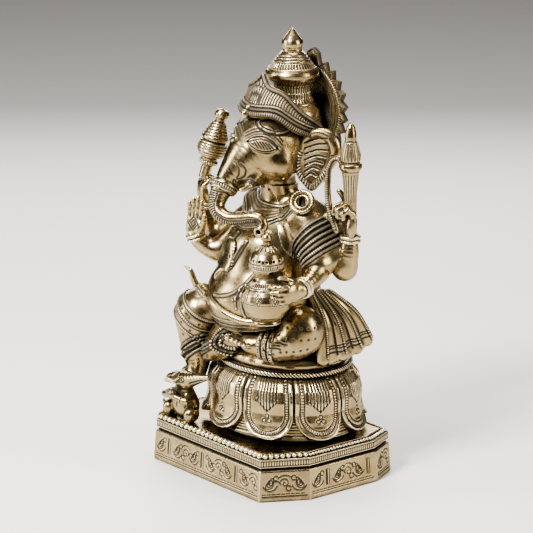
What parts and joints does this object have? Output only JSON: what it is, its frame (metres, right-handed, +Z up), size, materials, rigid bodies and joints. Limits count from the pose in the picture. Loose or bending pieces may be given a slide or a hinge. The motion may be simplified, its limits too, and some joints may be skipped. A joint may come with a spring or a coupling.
{
  "type": "ganesha idol",
  "caption": "Seated elephant-headed deity statue in antique brass on a lotus pedestal and chamfered engraved plinth, holding a lidded pot, with a halo disc behind the crown.",
  "frame": {"origin": "middle of the plinth's resting face", "axes": "+Z up, the figure faces -Y, its own left side is +X"},
  "size_m": [0.1952, 0.1505, 0.3894],
  "materials": {
    "antique_brass": "polished high points with a dark brown patina in every recess",
    "fixing_brass": "plain turned brass",
    "fixing_steel": "plain zinc-plated"
  },
  "bodies": {
    "root": {"plinth": "antique_brass", "bead_border": "antique_brass", "lotus_pedestal": "antique_brass", "seat_ring": "antique_brass", "seat_slab": "antique_brass", "tie_bolt": "fixing_steel", "tie_nut_and_washer": "fixing_steel", "torso": "antique_brass", "left_leg": "antique_brass", "right_leg": "antique_brass", "rear_left_arm": "antique_brass", "rear_right_arm": "antique_brass", "front_left_arm": "antique_brass", "front_right_arm": "antique_brass", "head": "antique_brass", "trunk": "antique_brass", "trunk_band": "antique_brass", "tusks": "antique_brass", "left_ear": "antique_brass", "right_ear": "antique_brass", "crown_band": "antique_brass", "crown_cap": "antique_brass", "crown_tier": "antique_brass", "crown_finial": "antique_brass", "halo": "antique_brass", "halo_screw": "fixing_brass", "pot_body": "antique_brass", "pot_lid": "antique_brass", "mace": "antique_brass", "goad": "antique_brass", "noose": "antique_brass", "bangles": "antique_brass", "sash_fan": "antique_brass", "lap_drape": "antique_brass", "shoulder_shawl": "antique_brass", "shawl_clasp": "antique_brass", "pendant": "antique_brass", "snake_belt": "antique_brass", "mouse": "antique_brass", "mouse_sweet": "antique_brass"}
  },
  "joints": []
}
